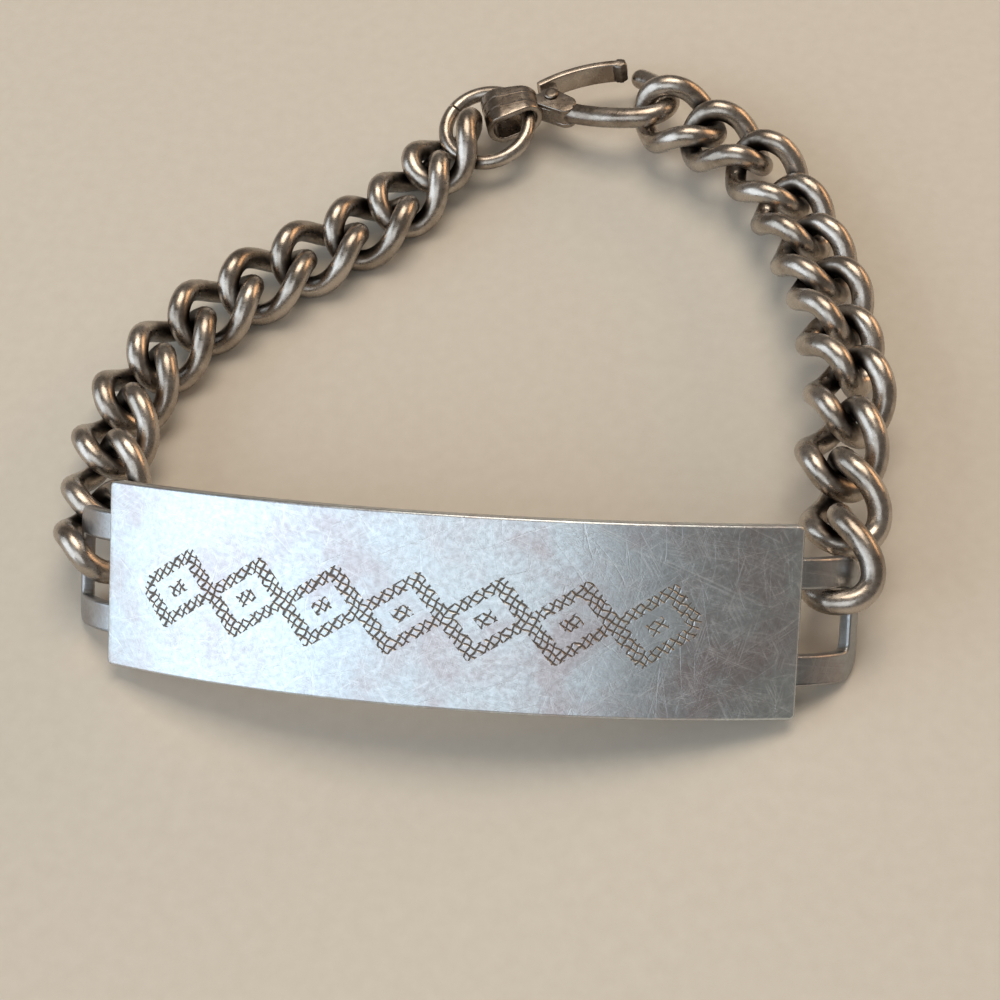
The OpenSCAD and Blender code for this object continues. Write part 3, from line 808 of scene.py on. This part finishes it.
# the nub was left as it was cast, so its surface is uneven
rng = np.random.default_rng(4)
swell = 1 + NUB_ROUGH * rng.standard_normal(ROUND_SIDES)
sections = [round_section(tip, radius, height * TONGUE_HIGH / 2,
                          swell + NUB_UNEVEN * rng.standard_normal(ROUND_SIDES))
            for height, radius in NUB]
nub = strung("clasp_tongue_nub", sections, [], body="tongue", sharp=80)
lug_top = TONGUE_START.y + TONGUE_THICK
shoulders = [(PIN_AT.x - 0.6, lug_top - 0.15, 0.1), (PIN_AT.x + 0.6, lug_top - 0.1, 0.1)]
lug = slab("clasp_tongue_lug", wrapped([LUG_AT_PIN] + shoulders), -LUG_HIGH / 2, LUG_HIGH / 2, LUG_EDGE,
           "tongue")

# the hinge is darkened by tarnish and painted shade, out to HINGE_REACH from the pin, less so on the
# rubbed rivet, and the rough nub is tarnished all over
HINGE_REACH = 1.9                       # mm from the pin to where the tarnish ends
HINGE_TARNISH_AND_SHADE, PIN_TARNISH_AND_SHADE, NUB_TARNISH = 0.9, 0.45, 0.5

clasp_frame = clasp_place.inverted()
for piece in (strap, bar, cheek_high, cheek_low, web, pin, tongue, nub, lug):
    places = np.array([clasp_frame @ (v.co / MM) for v in piece.data.vertices])
    hinge = 1 - np.linalg.norm(places[:, :2] - np.array(PIN_AT[:2]), axis=1) / HINGE_REACH
    tarnish_and_shade = hinge * (PIN_TARNISH_AND_SHADE if piece is pin else HINGE_TARNISH_AND_SHADE)
    store(piece, np.maximum(tarnish_and_shade, NUB_TARNISH if piece is nub else 0))
print("tongue made; the clasp has 9 pieces")

# %% [markdown]
# ## The floor
# The bracelet lay on cloth; here it lies on a plain pale card with a faint grain.

# %% Floor
CARD_GRAIN, CARD_HALF = 0.9, 1          # grain per mm, and half the card's side, m

paper = bpy.data.materials.new("matt_card")
paper.use_nodes = True
tree = paper.node_tree
place = node(tree, "TexCoord", out=3)
grain = node(tree, "TexNoise", {"Vector": place, "Scale": CARD_GRAIN / MM, "Detail": 3})
tone = blend(tree, grain, "#C9C1B4", "#D3CCC0")
tree.links.new(tone, tree.nodes["Principled BSDF"].inputs["Base Color"])
tree.nodes["Principled BSDF"].inputs["Roughness"].default_value = 0.85
mesh = bpy.data.meshes.new("floor")
corners = [(x * CARD_HALF, y * CARD_HALF, 0) for x, y in ((-1, -1), (1, -1), (1, 1), (-1, 1))]
mesh.from_pydata(corners, [], [(0, 1, 2, 3)])
mesh.materials.append(paper)
floor = bpy.data.objects.new("floor", mesh)
bpy.context.scene.collection.objects.link(floor)

# %% [markdown]
# ## Light
# One big cool window low on the left lights the left half of the curved plate. An open door in front
# and a warm ceiling add softer light, and a dim warm room behind, on the right, colours the upper
# sides of the wire.

# %% Lights
def area(name, toward, distance, size, power, hex_colour):
    """A lamp of some size in metres, at a distance from the middle and facing it."""
    lamp = bpy.data.lights.new(name, "AREA")
    lamp.shape = "RECTANGLE"
    lamp.size, lamp.size_y = size
    lamp.energy = power
    lamp.color = linear(hex_colour)[:3]
    holder = bpy.data.objects.new(name, lamp)
    bpy.context.scene.collection.objects.link(holder)
    way = Vector(toward).normalized()
    holder.location = way * distance
    holder.rotation_euler = way.to_track_quat("Z", "Y").to_euler()


area("window", (-0.80, -0.42, 0.42), 0.7, (0.8, 0.6), 3.4, "#DAEAF8")
area("open_door", (-0.05, -0.75, 0.66), 0.9, (0.6, 0.6), 1.8, "#E0EAF2")
area("ceiling", (0.1, 0.3, 0.95), 0.9, (0.6, 0.6), 4.6, "#FFF1DE")
area("room", (0.75, 0.55, 0.35), 0.8, (0.5, 0.3), 1.6, "#E8B98A")
world = bpy.data.worlds.new("room_light")
world.use_nodes = True
world.node_tree.nodes["Background"].inputs["Color"].default_value = linear("#8F8982")
world.node_tree.nodes["Background"].inputs["Strength"].default_value = 0.62
bpy.context.scene.world = world
bpy.context.scene.view_settings.view_transform = "Standard"
